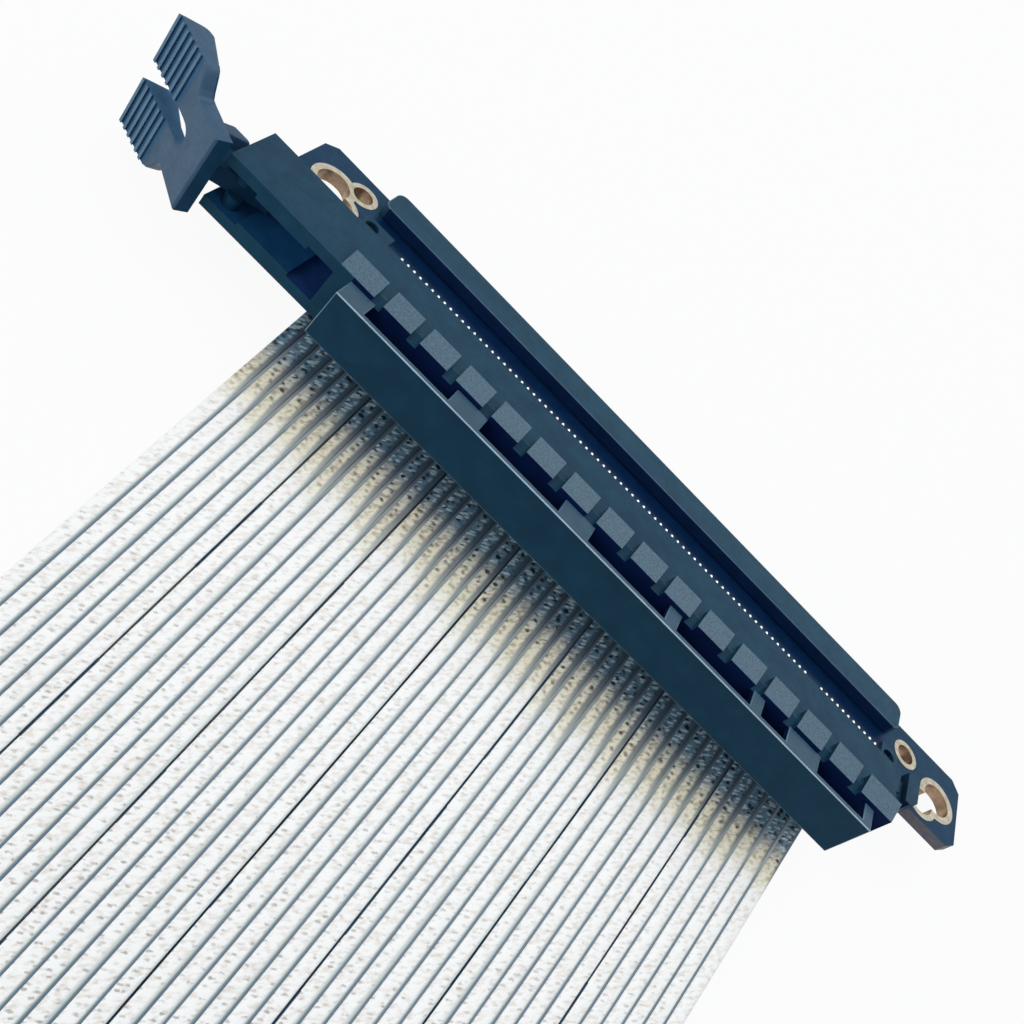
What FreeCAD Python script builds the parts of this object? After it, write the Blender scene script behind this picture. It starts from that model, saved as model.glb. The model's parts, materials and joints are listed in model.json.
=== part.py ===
"""Riser cable for a sixteen-lane expansion slot: card socket, shielded ribbons and edge plug.

The socket is drawn in its own level frame: X along the contact row with the first contact at
zero and the latch at the far negative end, Y from the mouth towards the rear of its circuit
board, Z along the board's normal. It then seats on the table with its rear edge low, so that
the ribbons leave it flat. Ribbons and plug are drawn in the table frame, with Z up.
"""
import FreeCAD, Part
import math
import os
import re

import Sketcher

SIZES = {
    # contact row
    "contact_pitch": 1.0,
    "short_count": 11,
    "long_count": 71,
    "key_gap": 3.0,
    "key_width": 1.7,
    "contact_width": 0.42,
    "contact_thick": 0.25,
    "tail_end": 13.6,
    "tail_start": 7.2,
    "touch_depth": 2.4,
    "touch_half_gap": 0.58,
    "lead_depth": 0.9,
    "lead_rise": 0.62,
    # socket housing
    "housing_half": 3.9,
    "housing_depth": 8.65,
    "housing_margin": 2.0,
    "body_margin": 2.9,
    "tower_length": 15.9,
    "slot_half": 0.9,
    "slot_depth": 7.0,
    "slot_margin": 1.2,
    "gallery_web": 0.75,
    "gallery_half": 2.1,
    "gallery_front": 0.8,
    "gallery_margin": 0.5,
    "ledge_half": 2.5,
    "ledge_rear": 11.15,
    "ledge_margin": 6.2,
    "mouth_lip": 2.95,
    "mouth_bevel": 1.2,
    "end_block_half": 1.8,
    "end_block_rear": 14.1,
    "left_block_length": 4.1,
    "right_block_left": 0.55,
    "right_block_length": 2.75,
    "board_slot_half": 1.15,
    "board_slot_front": 8.95,
    "lug_length": 5.0,
    "lug_front": 7.4,
    "lug_rear": 12.45,
    "lug_width": 1.95,
    "lug_groove": 1.3,
    "lug_web_half": 1.5,
    "lug_chamfer": 1.2,
    "peg_hole_radius": 0.95,
    "peg_hole_depth": 12.55,
    "left_peg_margin": 4.87,
    "right_peg_margin": 1.9,
    # lead-in wedges along both long faces
    "wedge_count": 15,
    "wedge_pitch": 5.46,
    "wedge_gap": 1.36,
    "wedge_last": 0.9,
    "wedge_depth": 2.4,
    "wedge_rise": 1.15,
    # hook channel and latch pocket in the tower
    "pocket_half": 2.5,
    "pocket_length": 4.6,
    "pocket_depth": 6.6,
    "channel_half": 1.95,
    "well_half": 2.45,
    "well_length": 3.7,
    "well_depth": 7.3,
    "well_wall": 0.1,
    # latch, measured from its pivot
    "pivot_inset": 2.2,
    "pivot_depth": 2.0,
    "pin_radius": 1.0,
    "pin_play": 0.05,
    "pin_half": 3.2,
    "pin_end_play": 0.1,
    "pin_root": 0.2,
    "shank_half": 1.2,
    "shank_run": 3.3,
    "shank_sole": 3.3,
    "foot_half": 1.1,
    "foot_reach": 3.5,
    "foot_rise": 1.5,
    "foot_thick": 1.1,
    "spur_half": 2.3,
    "spur_reach": 6.6,
    "spur_drop": 4.4,
    "spur_thick": 1.1,
    "spur_foot_reach": 2.9,
    "ear_reach": 3.5,
    "ear_rise": 4.35,
    "ear_half": 5.4,
    "plate_thick": 2.0,
    "root_reach": 10.6,
    "root_drop": 0.5,
    "waist_half": 5.0,
    "shoulder_reach": 11.0,
    "shoulder_run": 3.4,
    "shoulder_steps": 6,
    "shoulder_slant": 40,
    "tip_reach": 16.4,
    "tip_drop": 3.45,
    "pad_half": 7.8,
    "pad_drop": 5.4,
    "pad_heel": 12.7,
    "pad_crown": 14.1,
    "crown_share": 0.5,
    "crown_steps": 4,
    "pad_slot_half": 1.28,
    "pad_slot_reach": 8.5,
    "rib_count": 6,
    "rib_share": 0.4,
    "rib_groove": 0.28,
    # slot cover
    "cover_depth": 3.4,
    "cover_half": 3.36,
    "cover_thick": 0.7,
    "cover_left_margin": 0.9,
    "cover_right_inset": 0.3,
    "cover_seat_gap": 0.05,
    "tab_thick": 0.8,
    "blade_half": 0.35,
    "blade_depth": 5.0,
    "blade_play": 0.3,
    # socket board
    "board_half": 0.8,
    "board_front": 9.1,
    "board_rear": 21.1,
    "board_left_margin": 16.55,
    "board_right_margin": 15.65,
    "board_chamfer": 1.4,
    "solder_gap": 0.02,
    "mount_radius": 2.2,
    "mount_pad": 3.1,
    "mount_depth": 14.7,
    "mount_left_margin": 11.8,
    "mount_right_margin": 11.76,
    "guide_radius": 1.35,
    "guide_pad": 2.05,
    "side_guide_radius": 1.85,
    "side_guide_pad": 2.6,
    "left_guide_margin": 8.76,
    "left_guide_depth": 17.39,
    "side_guide_inset": 2.46,
    "side_guide_depth": 12.3,
    "corner_guide_margin": 5.47,
    "corner_guide_depth": 17.12,
    "plating_wall": 0.15,
    "plating_lip": 0.05,
    # overmouldings and how the socket sits
    "tilt": 25,
    "axis_height": 11.2,
    "mould_margin": 2.0,
    "mould_left_margin": 6.2,
    "bar_front": 17.0,
    "bar_rear": 21.6,
    "bar_height": 1.75,
    "bar_round": 1.2,
    "bar_round_steps": 5,
    "grip_chamfer": 0.3,
    "mould_front": 9.0,
    "mould_height": 3.5,
    "ribbon_entry": 5.0,
    # ribbons
    "ribbon_count": 7,
    "lobe_count": 6,
    "lobe_pitch": 2.03,
    "lobe_flat": 1.35,
    "lobe_groove": 0.24,
    "ribbon_thick": 1.05,
    "ribbon_gap": 0.12,
    "layer_gap": 0.1,
    "ribbon_shift": -1.8,
    "lower_shift": 0.7,
    "ribbon_skin": 0.6,
    "ribbon_play": 0.05,
    "free_length": 150,
    # edge plug
    "plug_mould_depth": 12,
    "plug_mould_height": 3.4,
    "plug_board_seat": 10,
    "finger_zone": 9.25,
    "finger_width": 0.7,
    "finger_length": 4.2,
    "finger_thick": 0.04,
    "finger_inset": 1.6,
    "edge_bevel": 1.3,
    "edge_half": 0.35,
    "edge_margin": 0.825,
    "notch_width": 1.9,
    "notch_depth": 8.25,
}

# Spacer tabs of the slot cover: middle of each tab along the contact row, and its length.
COVER_TABS = {
    "tab_end_left": (-82.1, 3.6),
    "tab_wide_left": (-65.5, 4.6),
    "tab_wide_mid": (-48.7, 4.6),
    "tab_narrow_mid": (-33.35, 1.9),
    "tab_narrow_right": (-19.6, 1.8),
    "tab_key": (-12.0, 5.2),
    "tab_end_right": (-1.0, 1.4),
}
for tab, (middle, length) in COVER_TABS.items():
    SIZES[tab + "_middle"] = middle
    SIZES[tab + "_length"] = length

# Places along the row and in the table frame that several pieces share.
ROW_LEFT = "(-(short_count + long_count - 2) * contact_pitch - key_gap)"
KEY_MIDDLE = "(-(short_count - 1) * contact_pitch - key_gap / 2)"
BODY_LEFT = f"({ROW_LEFT} - body_margin)"
TOWER_LEFT = f"({BODY_LEFT} - tower_length)"
WELL_RIGHT = f"({BODY_LEFT} - well_wall)"
LEDGE_LEFT = f"({ROW_LEFT} - ledge_margin)"
PIVOT_X = f"({TOWER_LEFT} + pivot_inset)"
MOULD_LEFT = f"({ROW_LEFT} - mould_left_margin)"
SINE = "sin(tilt * 1deg)"
COSINE = "cos(tilt * 1deg)"
RIBBON_TOP = "(ribbon_skin + 2 * ribbon_thick + layer_gap)"
PLUG_REAR = "(mould_front - free_length)"
PLUG_FRONT = f"({PLUG_REAR} - plug_mould_depth)"
EDGE_FRONT = f"({PLUG_FRONT} - finger_zone)"
PLUG_BOARD_TOP = "(plug_mould_height + 2 * board_half)"
PAST = "0.5"

doc = FreeCAD.newDocument("riser_cable")
sheet = doc.addObject("Spreadsheet::Sheet", "Sizes")
for row, (name, value) in enumerate(SIZES.items(), 1):
    sheet.set(f"A{row}", name)
    sheet.set(f"B{row}", str(value))
    sheet.setAlias(f"B{row}", name)
doc.recompute()


def size(name):
    """A driving dimension as the sheet holds it."""
    return float(sheet.get(name))


def bind(item, target, text):
    """Tie a property to sizes; every size's name in the text becomes a sheet reference."""
    linked = re.sub(r"[a-z_]+\w*", lambda m: "Sizes." + m[0] if m[0] in SIZES else m[0], text)
    item.setExpression(target, linked)


def block(name, x, y, z):
    """A box between two places on each axis."""
    box = doc.addObject("Part::Box", name)
    for side, axis, (low, high) in zip(("Length", "Width", "Height"), "xyz", (x, y, z)):
        bind(box, side, f"({high}) - ({low})")
        bind(box, "Placement.Base." + axis, low)
    return box


def rod(name, radius, x, y, low, high):
    """A cylinder along Z between two heights."""
    cylinder = doc.addObject("Part::Cylinder", name)
    bind(cylinder, "Radius", radius)
    bind(cylinder, "Height", f"({high}) - ({low})")
    for axis, place in zip("xyz", (x, y, low)):
        bind(cylinder, "Placement.Base." + axis, place)
    return cylinder


def outline(name, corners):
    """A closed sketch whose corners are each held by two distances from the origin."""
    sketch = doc.addObject("Sketcher::SketchObject", name)
    count = len(corners)
    turn = 2 * math.pi / count
    ring = [FreeCAD.Vector(math.cos(turn * i), math.sin(turn * i), 0) for i in range(count)]
    for i in range(count):
        sketch.addGeometry(Part.LineSegment(ring[i], ring[(i + 1) % count]))
    for i in range(count):
        sketch.addConstraint(Sketcher.Constraint("Coincident", i, 2, (i + 1) % count, 1))
    for i, (across, up) in enumerate(corners):
        for kind, text, start in (("DistanceX", across, ring[i].x), ("DistanceY", up, ring[i].y)):
            index = sketch.addConstraint(Sketcher.Constraint(kind, -1, 1, i, 1, start))
            bind(sketch, f"Constraints[{index}]", text)
    return sketch


def prism(name, corners, low, high, along="z"):
    """An outline drawn across an axis and extruded between two places on it."""
    sketch = outline(name + "_outline", corners)
    if along == "x":
        sketch.Placement.Rotation = FreeCAD.Rotation(FreeCAD.Vector(1, 1, 1), 120)
    if along == "y":
        sketch.Placement.Rotation = FreeCAD.Rotation(FreeCAD.Vector(1, 0, 0), 90)
    bind(sketch, "Placement.Base." + along, high if along == "y" else low)
    solid = doc.addObject("Part::Extrusion", name)
    solid.Base = sketch
    solid.DirMode = "Normal"
    solid.Solid = True
    bind(solid, "LengthFwd", f"({high}) - ({low})")
    return solid


def fuse(name, pieces):
    union = doc.addObject("Part::MultiFuse", name)
    union.Shapes = pieces
    union.Refine = True
    return union


def cut(name, base, tools):
    result = doc.addObject("Part::Cut", name)
    result.Base = base
    result.Tool = tools[0] if len(tools) == 1 else fuse(name + "_tools", tools)
    result.Refine = True
    return result


def slot_housing():
    """Moulded socket: body with rear ledge, latch tower, end lug and lead-in wedges."""
    section = [("0", "mouth_lip"), ("mouth_bevel", "housing_half"), ("housing_depth", "housing_half"),
               ("housing_depth", "ledge_half"), ("ledge_rear", "ledge_half")]
    mirrored = [(depth, f"-({height})") for depth, height in reversed(section)]
    body = prism("housing_body", section + mirrored, BODY_LEFT, "housing_margin", "x")
    tower = block("housing_tower", (TOWER_LEFT, BODY_LEFT), ("0", "housing_depth"),
                  ("-housing_half", "housing_half"))
    ledge = block("housing_ledge", (LEDGE_LEFT, BODY_LEFT), (f"housing_depth - {PAST}", "ledge_rear"),
                  ("-ledge_half", "ledge_half"))
    solid = fuse("housing_solid", [body, tower, ledge, housing_wedges()] + end_blocks() + end_lug())
    return cut("slot_housing", solid, slot_cuts() + tower_cuts() + ledge_cuts())


def end_blocks():
    """Low blocks at both ends of the rear ledge, which the peg holes are in."""
    return [block(f"end_block_{side}", (left, f"{left} + {length}"),
                  (f"ledge_rear - {PAST}", "end_block_rear"), ("-end_block_half", "end_block_half"))
            for side, left, length in (("left", LEDGE_LEFT, "left_block_length"),
                                       ("right", "right_block_left", "right_block_length"))]


def end_lug():
    """Post at the far end from the latch, beyond a groove that a web crosses."""
    lug_end = "(housing_margin + lug_length)"
    lug_left = f"({lug_end} - lug_width)"
    post = prism("lug_post", [(lug_left, "lug_front"), (f"{lug_end} - lug_chamfer", "lug_front"),
                              (lug_end, "lug_front + lug_chamfer"), (lug_end, "lug_rear"),
                              (lug_left, "lug_rear")], "-ledge_half", "ledge_half")
    shelf = block("lug_shelf", (f"housing_margin - {PAST}", f"{lug_left} - lug_groove"),
                  ("lug_front", "ledge_rear"), ("-ledge_half", "ledge_half"))
    web = block("lug_web", (f"housing_margin - {PAST}", f"{lug_end} - lug_chamfer"),
                ("lug_front", "ledge_rear"), ("-lug_web_half", "lug_web_half"))
    return [post, shelf, web]


def housing_wedges():
    """Sloped blocks along the mouth, parted by gaps at one pitch; the one at the latch is longer."""
    strips = []
    for side, sign in (("upper", ""), ("lower", "-")):
        corners = [("0", f"{sign}(mouth_lip)"), ("wedge_depth", f"{sign}(mouth_lip)"),
                   ("wedge_depth", f"{sign}(housing_half + wedge_rise)"), ("0", f"{sign}(housing_half)")]
        strips.append(prism(f"wedge_{side}", corners, BODY_LEFT, "housing_margin", "x"))
    gaps = []
    for i in range(int(size("wedge_count"))):
        right = f"wedge_last - (wedge_pitch - wedge_gap) - {i} * wedge_pitch"
        gaps.append(block(f"wedge_gap_{i}", (f"{right} - wedge_gap", right),
                          (f"-{PAST}", f"wedge_depth + {PAST}"),
                          (f"-housing_half - wedge_rise - {PAST}",
                           f"housing_half + wedge_rise + {PAST}")))
    return cut("wedges", fuse("wedge_strips", strips), gaps)


def slot_cuts():
    """Card slot either side of the key, and the galleries that the contacts stand in."""
    cuts = []
    stretches = {
        "long": (f"{ROW_LEFT} - slot_margin", f"{KEY_MIDDLE} - key_width / 2",
                 f"{ROW_LEFT} - gallery_margin", f"{KEY_MIDDLE} - key_gap / 2 + gallery_margin"),
        "short": (f"{KEY_MIDDLE} + key_width / 2", "slot_margin",
                  f"{KEY_MIDDLE} + key_gap / 2 - gallery_margin", "gallery_margin"),
    }
    for name, (left, right, gallery_left, gallery_right) in stretches.items():
        cuts.append(block(f"slot_{name}", (left, right), (f"-{PAST}", "slot_depth"),
                          ("-slot_half", "slot_half")))
        for side, low, high in (("upper", "gallery_web", "gallery_half"),
                                ("lower", "-gallery_half", "-gallery_web")):
            cuts.append(block(f"gallery_{name}_{side}", (gallery_left, gallery_right),
                              ("gallery_front", "board_slot_front"), (low, high)))
    return cuts


def tower_cuts():
    """Latch pocket, hook channel and hook well, with blind bearings for the latch's pins."""
    pocket_right = f"{TOWER_LEFT} + pocket_length"
    well_left = f"{WELL_RIGHT} - well_length"
    cuts = [
        block("latch_pocket", (f"{TOWER_LEFT} - {PAST}", pocket_right), (f"-{PAST}", "pocket_depth"),
              ("-pocket_half", "pocket_half")),
        block("hook_channel", (f"{pocket_right} - {PAST}", f"{well_left} + {PAST}"),
              (f"-{PAST}", "pocket_depth"), ("-channel_half", "channel_half")),
        block("hook_well", (well_left, WELL_RIGHT), (f"-{PAST}", "well_depth"),
              ("-well_half", "well_half")),
        rod("latch_bearing", "pin_radius + pin_play", PIVOT_X, "pivot_depth",
            "-pin_half - pin_end_play", "pin_half + pin_end_play"),
    ]
    return cuts


def ledge_cuts():
    """Rear slot that straddles the board, and the two peg holes in the upper end blocks."""
    cuts = [block("board_slot", (f"{LEDGE_LEFT} - {PAST}", f"housing_margin + lug_length + {PAST}"),
                  ("board_slot_front", f"end_block_rear + {PAST}"),
                  ("-board_slot_half", "board_slot_half"))]
    for side, place in (("left", f"{ROW_LEFT} - left_peg_margin"), ("right", "right_peg_margin")):
        cuts.append(rod(f"peg_hole_{side}", "peg_hole_radius", place, "peg_hole_depth", "0",
                        f"ledge_half + {PAST}"))
    return cuts


def slot_cover():
    """Plain cover in front of the mouth: front plate, spacer tabs and two blades in the slot."""
    left = f"{ROW_LEFT} - cover_left_margin"
    right = "-cover_right_inset"
    pieces = [block("cover_plate", (left, right), ("-cover_depth", "-cover_depth + cover_thick"),
                    ("-cover_half", "cover_half"))]
    for tab_name in COVER_TABS:
        low = f"{tab_name}_middle - {tab_name}_length / 2"
        high = f"{tab_name}_middle + {tab_name}_length / 2"
        for side, base, top in (("upper", "cover_half - tab_thick", "cover_half"),
                                ("lower", "-cover_half", "tab_thick - cover_half")):
            pieces.append(block(f"{tab_name}_{side}", (f"max({low}; {left})", f"min({high}; {right})"),
                                ("-cover_depth", "-cover_seat_gap"), (base, top)))
    key_side = "(key_width / 2 + blade_play)"
    for name, low, high in (("long", left, f"{KEY_MIDDLE} - {key_side}"),
                            ("short", f"{KEY_MIDDLE} + {key_side}", right)):
        pieces.append(block(f"blade_{name}", (low, high), ("-cover_depth", "blade_depth"),
                            ("-blade_half", "blade_half")))
    return fuse("slot_cover", pieces)


def contact_places():
    """Middles of the contacts along the row, first contact first."""
    pitch = size("contact_pitch")
    short = int(size("short_count"))
    places = [-i * pitch for i in range(short)]
    start = places[-1] - size("key_gap")
    places += [start - i * pitch for i in range(int(size("long_count")))]
    return places


def contact_row(name, sign):
    """One row of spring contacts: tail on the board, beam in its gallery, bend and thin lip at the card."""
    thick = size("contact_thick")
    tail = size("board_half") + size("solder_gap")
    touch = size("touch_half_gap")
    lead = touch + size("lead_rise")
    inner = [(size("tail_end"), tail), (size("tail_start"), tail), (size("touch_depth"), touch),
             (size("lead_depth"), lead)]
    outer = [(depth, height + thick) for depth, height in reversed(inner[:-1])]
    width = size("contact_width")
    contacts = []
    for middle in contact_places():
        corners = [FreeCAD.Vector(middle - width / 2, depth, sign * height)
                   for depth, height in inner + outer]
        face = Part.Face(Part.makePolygon(corners + corners[:1]))
        contacts.append(face.extrude(FreeCAD.Vector(width, 0, 0)))
    return group(name, contacts)


def group(name, solids):
    """Like pieces that share one node."""
    feature = doc.addObject("Part::Feature", name)
    feature.Shape = Part.makeCompound(solids) if len(solids) > 1 else solids[0]
    return feature


def from_pivot(reach, drop):
    """A place of the latch, by its distances from the pivot away from the slot and from the mouth."""
    return f"{PIVOT_X} - ({reach})", f"pivot_depth + ({drop})"


def retention_latch():
    """Lever with two ribbed thumb pads, a shank between the cheeks, a spur behind it and two pins."""
    plate = cut("latch_plate", prism("latch_lever", lever_corners(), "-pad_half", "pad_half"),
                [pad_gap(), pad_gap_end()] + shoulder_trims())
    inside = "ear_reach + plate_thick / 2"
    shank = prism("latch_shank", [from_pivot(inside, "-ear_rise / 2"),
                                  from_pivot("shank_half - shank_run", "shank_run - ear_rise / 2"),
                                  from_pivot("0", "shank_sole"),
                                  from_pivot("plate_thick", "shank_sole"),
                                  from_pivot("spur_reach", "root_drop")],
                  "-shank_half", "shank_half")
    foot = prism("latch_foot", [from_pivot("0", "foot_rise - foot_thick"),
                                from_pivot("-foot_reach", "foot_rise"),
                                from_pivot("-foot_reach", "foot_rise + foot_thick"),
                                from_pivot("0", "shank_sole")], "-foot_half", "foot_half")
    spur = prism("latch_spur", [from_pivot(inside, "-spur_thick / 2"),
                                from_pivot("spur_reach - spur_thick", "spur_drop / 2"),
                                from_pivot("spur_foot_reach", "spur_drop - spur_thick / 4"),
                                from_pivot("spur_foot_reach + spur_thick / 2", "spur_drop"),
                                from_pivot("spur_reach - spur_thick", "spur_drop"),
                                from_pivot("spur_reach", "spur_drop - spur_thick"),
                                from_pivot("spur_reach", "-spur_thick / 2")],
                 "-spur_half", "spur_half")
    pins = [rod(f"latch_pin_{side}", "pin_radius", PIVOT_X, "pivot_depth", low, high)
            for side, low, high in (("upper", "shank_half - pin_root", "pin_half"),
                                    ("lower", "-pin_half", "pin_root - shank_half"))]
    return fuse("retention_latch", [plate, shank, foot, spur] + pins)


def lever_corners():
    """Side view of the lever: ribbed front, a plate of even thickness and the pads' rounded back."""
    corners = []
    ribs = int(size("rib_count"))
    for i in range(ribs):
        for step, depth in ((f"{i}", "0"), (f"({i} + rib_share)", "0"),
                            (f"({i} + rib_share)", "rib_groove"), (f"{i + 1}", "rib_groove")):
            corners.append(from_pivot(f"tip_reach + (root_reach - tip_reach) * {step} / rib_count",
                                      f"tip_drop + (root_drop - tip_drop) * {step} / rib_count + {depth}"))
    run, climb = "(root_reach - ear_reach)", "(root_drop + ear_rise)"
    length = f"sqrt({run} * {run} + {climb} * {climb})"
    inward = f"plate_thick * {climb} / {length}"
    deeper = f"plate_thick * {run} / {length}"
    corners += [from_pivot("ear_reach", "-ear_rise"),
                from_pivot(f"ear_reach - {inward}", f"{deeper} - ear_rise"),
                from_pivot(f"root_reach - {inward}", f"root_drop + {deeper}"),
                from_pivot("pad_heel", "pad_drop")]
    return corners + pad_crown()


def pad_crown():
    """Round back corner of the pads, between the straight runs to the heel and to the tip."""
    crown = ("pad_crown", "pad_drop + rib_groove")
    runs = [(f"({heel} - ({corner}))", f"({tip} - ({corner}))")
            for heel, tip, corner in zip(("pad_heel", "pad_drop"), ("tip_reach", "tip_drop"), crown)]
    steps = int(size("crown_steps"))
    points = []
    for i in range(steps + 1):
        to_heel, to_tip = (1 - i / steps) ** 2, (i / steps) ** 2
        points.append(from_pivot(*(f"{corner} + crown_share * ({to_heel} * {heel} + {to_tip} * {tip})"
                                   for corner, (heel, tip) in zip(crown, runs))))
    return points


def shoulder_trims():
    """Space beside the plate, up to the slanted curve by which the wider pads grow out of it."""
    trims = []
    steps = int(size("shoulder_steps"))
    slant = "shoulder_slant * 1deg"
    ear = f"{PIVOT_X} + ear_rise"
    for side, sign in (("upper", ""), ("lower", "-")):
        corners = [(f"{ear} + {PAST}", f"{sign}(pad_half + {PAST})"),
                   (f"{PIVOT_X} - shoulder_reach - {PAST}", f"{sign}(pad_half + {PAST})")]
        for i in range(steps + 1):
            share = (1 + math.cos(math.pi * i / steps)) / 2
            corners.append((f"{PIVOT_X} - shoulder_reach + shoulder_run * {i} / shoulder_steps",
                            f"{sign}(waist_half + (pad_half - waist_half) * {share})"))
        corners += [(f"{ear} - ear_reach", f"{sign}(ear_half)"), (f"{ear} + {PAST}", f"{sign}(ear_half)")]
        trim = prism(f"latch_trim_{side}", corners, "pivot_depth", "pivot_depth", "y")
        trim.DirMode = "Custom"
        trim.Dir = FreeCAD.Vector(0, 1, 0)
        bind(trim, "Dir.x", f"sin({slant})")
        bind(trim, "Dir.y", f"cos({slant})")
        bind(trim, "LengthFwd", f"(pad_drop + {PAST}) / cos({slant})")
        bind(trim, "LengthRev", f"(ear_rise + {PAST}) / cos({slant})")
        trims.append(trim)
    return trims


def pad_gap():
    """Open slot between the two thumb pads."""
    return block("pad_gap", (f"{PIVOT_X} - tip_reach - {PAST}", f"{PIVOT_X} - pad_slot_reach"),
                 (f"pivot_depth - ear_rise - {PAST}", f"pivot_depth + pad_drop + {PAST}"),
                 ("-pad_slot_half", "pad_slot_half"))


def pad_gap_end():
    """Round end of the slot between the pads."""
    end = doc.addObject("Part::Cylinder", "pad_gap_end")
    end.Placement.Rotation = FreeCAD.Rotation(FreeCAD.Vector(1, 0, 0), -90)
    bind(end, "Radius", "pad_slot_half")
    bind(end, "Height", f"ear_rise + pad_drop + 2 * {PAST}")
    bind(end, "Placement.Base.x", f"{PIVOT_X} - pad_slot_reach")
    bind(end, "Placement.Base.y", f"pivot_depth - ear_rise - {PAST}")
    return end


def plated_holes():
    """Name, hole and pad radius and place of every plated hole, by the plating that it is in."""
    left = f"{ROW_LEFT} - "
    return {
        "left_mount_plating": [
            ("mount_radius", "mount_pad", left + "mount_left_margin", "mount_depth"),
            ("side_guide_radius", "side_guide_pad", left + "mount_left_margin + side_guide_inset",
             "side_guide_depth"),
            ("guide_radius", "guide_pad", left + "left_guide_margin", "left_guide_depth")],
        "right_mount_plating": [
            ("mount_radius", "mount_pad", "mount_right_margin", "mount_depth"),
            ("side_guide_radius", "side_guide_pad", "mount_right_margin - side_guide_inset",
             "side_guide_depth")],
        "right_guide_plating": [
            ("guide_radius", "guide_pad", "corner_guide_margin", "corner_guide_depth")],
    }


def socket_board():
    """Narrow board with chamfered corners, which the housing straddles."""
    left = f"({ROW_LEFT} - board_left_margin)"
    right = "board_right_margin"
    near, far, chamfer = "board_front", "board_rear", "board_chamfer"
    corners = [(f"{left} + {chamfer}", near), (f"{right} - {chamfer}", near),
               (right, f"{near} + {chamfer}"), (right, f"{far} - {chamfer}"),
               (f"{right} - {chamfer}", far), (f"{left} + {chamfer}", far),
               (left, f"{far} - {chamfer}"), (left, f"{near} + {chamfer}")]
    plate = prism("board_plate", corners, "-board_half", "board_half")
    holes = []
    for plating, places in plated_holes().items():
        for i, (radius, _, x, y) in enumerate(places):
            holes.append(rod(f"{plating}_hole_{i}", f"{radius} + plating_wall", x, y,
                             f"-board_half - {PAST}", f"board_half + {PAST}"))
    return cut("socket_board", plate, holes)


def hole_plating(name, places):
    """Barrels through the board with a thin pad on each face."""
    metal = []
    bores = []
    for i, (radius, pad, x, y) in enumerate(places):
        top = "board_half + plating_lip"
        metal.append(rod(f"{name}_barrel_{i}", f"{radius} + plating_wall", x, y, f"-({top})", top))
        metal.append(rod(f"{name}_upper_pad_{i}", pad, x, y, "board_half", top))
        metal.append(rod(f"{name}_lower_pad_{i}", pad, x, y, f"-({top})", "-board_half"))
        bores.append(rod(f"{name}_bore_{i}", radius, x, y, f"-({top}) - {PAST}", f"{top} + {PAST}"))
    return cut(name, fuse(name + "_metal", metal), bores)


def upper_overmould():
    """Bar along the board's rear edge, over the wires' joints, with rounded ends."""
    steps = int(size("bar_round_steps"))
    corners = []
    for quarter, (x, y) in enumerate((("mould_margin - bar_round", "bar_rear - bar_round"),
                                      (f"{MOULD_LEFT} + bar_round", "bar_rear - bar_round"),
                                      (f"{MOULD_LEFT} + bar_round", "bar_front + bar_round"),
                                      ("mould_margin - bar_round", "bar_front + bar_round"))):
        for i in range(steps + 1):
            turn = (quarter + i / steps) * math.pi / 2
            corners.append((f"{x} + bar_round * {math.cos(turn):.9f}",
                            f"{y} + bar_round * {math.sin(turn):.9f}"))
    base = "board_half + solder_gap"
    return prism("upper_overmould", corners, base, f"{base} + bar_height")


def lower_overmould():
    """Wedge between the tilted board and the table, with the ribbons' ends moulded in."""
    under = "(board_half + solder_gap)"
    meet = f"((axis_height - {under} * {COSINE} - mould_height) / {SINE})"
    corners = [("mould_front", "0"), ("mould_front", "mould_height"),
               (f"{meet} * {COSINE} - {under} * {SINE}", "mould_height"),
               (f"board_rear * {COSINE} - {under} * {SINE}",
                f"axis_height - board_rear * {SINE} - {under} * {COSINE}"),
               (f"board_rear * {COSINE} - {under} * {SINE}", "0")]
    wedge = prism("mould_wedge", corners, MOULD_LEFT, "mould_margin", "x")
    return cut("lower_overmould", wedge, [ribbon_pocket("socket_pocket", "mould_front - 0.5",
                                                        "mould_front + ribbon_entry")])


def ribbon_pocket(name, front, rear):
    """Space in an overmoulding for the ends of all ribbons."""
    middle = f"({ROW_LEFT} / 2 + ribbon_shift)"
    half = "((ribbon_count * (lobe_count * lobe_pitch + ribbon_gap)) / 2)"
    return block(name, (f"{middle} - {half}", f"{middle} + {half} + lower_shift"), (front, rear),
                 ("ribbon_skin - ribbon_play", f"{RIBBON_TOP} + ribbon_play"))


def ribbon(name, index, layer):
    """One flat ribbon of shielded pairs: a row of lobes, plain underneath where it lies on another."""
    pitch, flat = size("lobe_pitch"), size("lobe_flat")
    thick, groove = size("ribbon_thick"), size("lobe_groove")
    lobes, count = int(size("lobe_count")), int(size("ribbon_count"))
    width = lobes * pitch
    step = width + size("ribbon_gap")
    row_middle = -contact_places()[0] / 2 + contact_places()[-1] / 2
    left = row_middle + size("ribbon_shift") - (count * step - size("ribbon_gap")) / 2 + index * step
    base = size("ribbon_skin")
    if layer == "upper":
        base += thick + size("layer_gap")
    else:
        left += size("lower_shift")
    upper = []
    for i in range(lobes):
        shoulder = (pitch - flat) / 2
        start = left + i * pitch
        upper += [(start, thick - groove), (start + shoulder, thick),
                  (start + shoulder + flat, thick)]
    upper.append((left + width, thick - groove))
    lower = [(left + width, 0), (left, 0)]
    if layer == "lower":
        lower = [(across, thick - height) for across, height in reversed(upper)]
    rear = size("mould_front") + size("ribbon_entry") - size("ribbon_play")
    front = size("mould_front") - size("free_length") - size("ribbon_entry") + size("ribbon_play")
    corners = [FreeCAD.Vector(across, front, base + height) for across, height in upper + lower]
    face = Part.Face(Part.makePolygon(corners + corners[:1]))
    return group(name, [face.extrude(FreeCAD.Vector(0, rear - front, 0))])


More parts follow.
